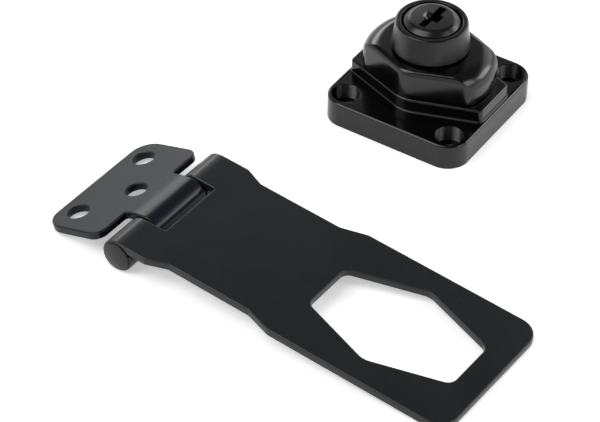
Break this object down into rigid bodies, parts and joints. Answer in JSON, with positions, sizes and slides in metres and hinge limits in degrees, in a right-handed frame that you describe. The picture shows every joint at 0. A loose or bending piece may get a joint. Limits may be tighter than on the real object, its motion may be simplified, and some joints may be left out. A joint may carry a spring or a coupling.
{
  "type": "keyed hasp lock",
  "caption": "Satin black keyed hasp set: slotted strap with a hinged leaf, lying beside its square lock base with a raised pad, a turn knob and a key cylinder.",
  "frame": {"origin": "centre of the lock base on the face that is screwed down", "axes": "+Z away from the mounting surface along the lock's axis; +X along the strap from its hinge to its tip in the closed layout; +Y across the strap"},
  "size_m": [0.1223, 0.124, 0.0291],
  "materials": {
    "base_coat": "satin black powder coat on a zinc casting",
    "knob_coat": "satin black powder coat on a zinc casting",
    "housing_coat": "satin black coat on turned metal",
    "plug_coat": "satin black coat, worn a little at the key slot",
    "strap_coat": "satin black coat on steel sheet",
    "leaf_coat": "satin black coat on steel sheet",
    "pin_coat": "satin black coat on a steel rivet pin",
    "brass": "stamped, bare",
    "spring_steel": "bare spring steel",
    "plated_steel": "zinc plated"
  },
  "bodies": {
    "base": {"lock_base": "base_coat", "hinge_strap": "strap_coat", "hinge_pin": "pin_coat"},
    "leaf": {"hinge_leaf": "leaf_coat"},
    "knob": {"turn_knob": "knob_coat", "cylinder_housing": "housing_coat", "retaining_plate": "plated_steel", "plate_screws": "plated_steel", "wave_washer": "spring_steel", "stop_pin": "plated_steel"},
    "plug": {"cylinder_plug": "plug_coat", "wafer_1": "brass", "wafer_2": "brass", "wafer_3": "brass", "wafer_4": "brass", "wafer_5": "brass", "wafer_spring_1": "spring_steel", "wafer_spring_2": "spring_steel", "wafer_spring_3": "spring_steel", "wafer_spring_4": "spring_steel", "wafer_spring_5": "spring_steel", "plug_clip": "spring_steel"},
    "bolt": {"locking_bolt": "plated_steel"}
  },
  "joints": [
    {"name": "leaf_hinge", "type": "hinge", "parent": "base", "child": "leaf", "pos_m": [-0.0286, -0.0777, 0.00438], "axis": [0.0454, 0.999, 0], "range_deg": [-159.93, 119]},
    {"name": "knob_turn", "type": "hinge", "parent": "base", "child": "knob", "pos_m": [0, 0, 0.012], "axis": [0, 0, 1], "range_deg": [0, 90]},
    {"name": "key_turn", "type": "hinge", "parent": "knob", "child": "plug", "pos_m": [0, 0, 0.018], "axis": [0, 0, 1], "range_deg": [0, 90]},
    {"name": "bolt_slide", "type": "slide", "parent": "knob", "child": "bolt", "axis": [1, 0, 0], "range_m": [0, 0.00284]}
  ],
  "couplings": [
    {"joint": "bolt_slide", "follows": "key_turn", "m_per_rad": 0.0018006}
  ]
}
